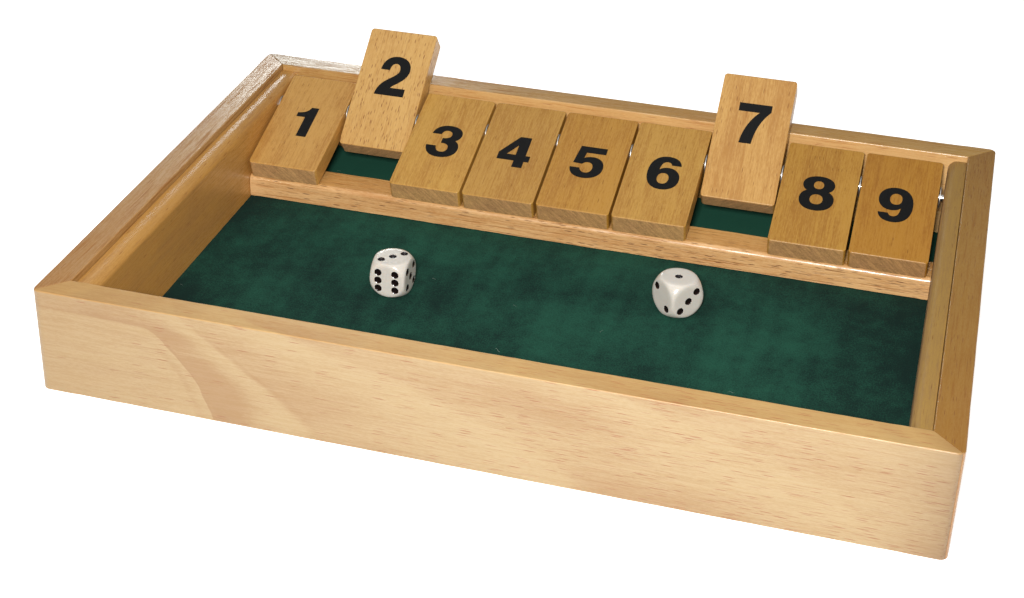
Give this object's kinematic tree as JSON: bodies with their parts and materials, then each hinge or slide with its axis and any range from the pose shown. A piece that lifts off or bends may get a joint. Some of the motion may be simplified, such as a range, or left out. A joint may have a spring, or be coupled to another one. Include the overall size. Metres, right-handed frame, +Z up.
{
  "type": "shut the box game",
  "caption": "Wooden dice tray lined with green felt, with a row of numbered tiles that flip over on a steel rod, and two dice.",
  "frame": {"origin": "middle of the flat underside of the base panel, where the box stands on the table", "axes": "+Z up, +X to the right along the row of tiles, +Y towards the tiles at the back"},
  "size_m": [0.35, 0.2481, 0.066],
  "materials": {
    "frame_wood": "clear satin lacquer on blond hardwood",
    "liner_wood": "clear satin lacquer on blond hardwood",
    "tile_wood": "clear satin lacquer on blond hardwood",
    "base_board": "bare plywood",
    "felt": "short dense pile",
    "steel": "bright drawn steel",
    "dice": "polished ivory white",
    "black_print": "satin black ink"
  },
  "bodies": {
    "root": {"front_rail": "frame_wood", "right_rail": "frame_wood", "back_rail": "frame_wood", "left_rail": "frame_wood", "left_liner": "liner_wood", "right_liner": "liner_wood", "base_panel": "base_board", "playing_felt": "felt", "rest_bar": "frame_wood", "hinge_rod": "steel", "washer_1": "steel", "washer_2": "steel", "washer_3": "steel", "washer_4": "steel", "washer_5": "steel", "washer_6": "steel", "washer_7": "steel", "washer_8": "steel", "washer_9": "steel", "washer_10": "steel"},
    "tile_1_body": {"tile_1": "tile_wood"},
    "tile_2_body": {"tile_2": "tile_wood"},
    "tile_3_body": {"tile_3": "tile_wood"},
    "tile_4_body": {"tile_4": "tile_wood"},
    "tile_5_body": {"tile_5": "tile_wood"},
    "tile_6_body": {"tile_6": "tile_wood"},
    "tile_7_body": {"tile_7": "tile_wood"},
    "tile_8_body": {"tile_8": "tile_wood"},
    "tile_9_body": {"tile_9": "tile_wood"},
    "die_1_body": {"die_1": "dice"},
    "die_2_body": {"die_2": "dice"}
  },
  "joints": [
    {"name": "tile_1_flip", "type": "hinge", "parent": "root", "child": "tile_1_body", "pos_m": [-0.1381, 0.08851, 0.03426], "axis": [-1, 0, 0], "range_deg": [0, 158.83]},
    {"name": "tile_2_flip", "type": "hinge", "parent": "root", "child": "tile_2_body", "pos_m": [-0.10372, 0.08851, 0.03426], "axis": [-1, 0, 0], "range_deg": [-158.83, 0]},
    {"name": "tile_3_flip", "type": "hinge", "parent": "root", "child": "tile_3_body", "pos_m": [-0.06934, 0.08851, 0.03426], "axis": [-1, 0, 0], "range_deg": [0, 158.83]},
    {"name": "tile_4_flip", "type": "hinge", "parent": "root", "child": "tile_4_body", "pos_m": [-0.03496, 0.08851, 0.03426], "axis": [-1, 0, 0], "range_deg": [0, 158.83]},
    {"name": "tile_5_flip", "type": "hinge", "parent": "root", "child": "tile_5_body", "pos_m": [-0.00058, 0.08851, 0.03426], "axis": [-1, 0, 0], "range_deg": [0, 158.83]},
    {"name": "tile_6_flip", "type": "hinge", "parent": "root", "child": "tile_6_body", "pos_m": [0.0338, 0.08851, 0.03426], "axis": [-1, 0, 0], "range_deg": [0, 158.83]},
    {"name": "tile_7_flip", "type": "hinge", "parent": "root", "child": "tile_7_body", "pos_m": [0.06818, 0.08851, 0.03426], "axis": [-1, 0, 0], "range_deg": [-158.83, 0]},
    {"name": "tile_8_flip", "type": "hinge", "parent": "root", "child": "tile_8_body", "pos_m": [0.10256, 0.08851, 0.03426], "axis": [-1, 0, 0], "range_deg": [0, 158.83]},
    {"name": "tile_9_flip", "type": "hinge", "parent": "root", "child": "tile_9_body", "pos_m": [0.13694, 0.08851, 0.03426], "axis": [-1, 0, 0], "range_deg": [0, 158.83]},
    {"name": "die_1_lift", "type": "slide", "parent": "root", "child": "die_1_body", "axis": [0, 0, 1], "range_m": [0, 0.08]},
    {"name": "die_2_lift", "type": "slide", "parent": "root", "child": "die_2_body", "axis": [0, 0, 1], "range_m": [0, 0.08]}
  ]
}
